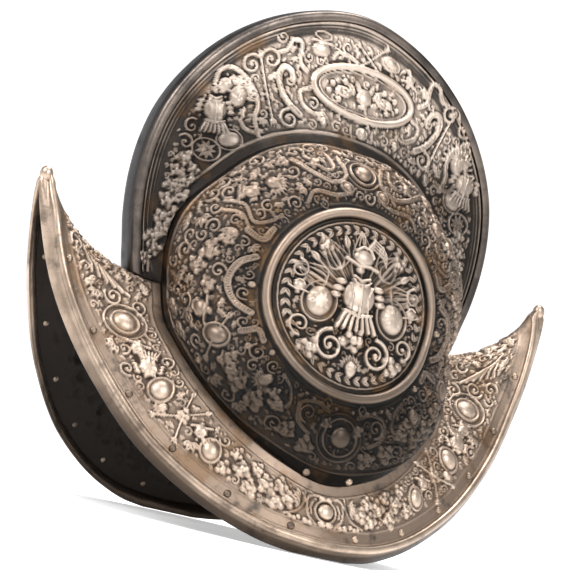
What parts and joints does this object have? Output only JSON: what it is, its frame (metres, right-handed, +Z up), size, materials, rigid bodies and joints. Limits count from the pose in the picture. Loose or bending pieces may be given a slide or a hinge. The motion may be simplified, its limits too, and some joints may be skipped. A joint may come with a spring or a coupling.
{
  "type": "morion helmet",
  "caption": "Embossed comb morion helmet: tall comb with a rim channel, domed bowl halves with a ringed medallion, and an upswept brim with two tips.",
  "frame": {"origin": "middle of the bounding box at its base, the floor the helmet rests on", "axes": "+X from the front tip to the back tip, +Y to the wearer's right, +Z up through the comb"},
  "size_m": [0.351, 0.2172, 0.3185],
  "materials": {
    "sheet": "embossed iron sheet, warm silvery high spots over a dark patina",
    "rim": "satin iron strip, dark grey patina",
    "edge": "satin turned edge, warm silvery brown",
    "rivets": "domed rivet heads, worn bright"
  },
  "bodies": {
    "root": {"shell_left": "sheet", "shell_right": "sheet", "comb_rim": "rim", "brim_edge": "edge", "brim_rivet_01": "rivets", "brim_rivet_02": "rivets", "brim_rivet_03": "rivets", "brim_rivet_04": "rivets", "brim_rivet_05": "rivets", "brim_rivet_06": "rivets", "brim_rivet_07": "rivets", "brim_rivet_08": "rivets", "brim_rivet_09": "rivets", "brim_rivet_10": "rivets", "brim_rivet_11": "rivets", "brim_rivet_12": "rivets", "brim_rivet_13": "rivets", "brim_rivet_14": "rivets", "brim_rivet_15": "rivets", "brim_rivet_16": "rivets", "brim_rivet_17": "rivets", "brim_rivet_18": "rivets", "brim_rivet_19": "rivets", "brim_rivet_20": "rivets", "brim_rivet_21": "rivets", "brim_rivet_22": "rivets", "brim_rivet_23": "rivets", "brim_rivet_24": "rivets", "bowl_rivet_01": "rivets", "bowl_rivet_02": "rivets", "bowl_rivet_03": "rivets", "bowl_rivet_04": "rivets", "bowl_rivet_05": "rivets", "bowl_rivet_06": "rivets", "bowl_rivet_07": "rivets", "bowl_rivet_08": "rivets"}
  },
  "joints": []
}
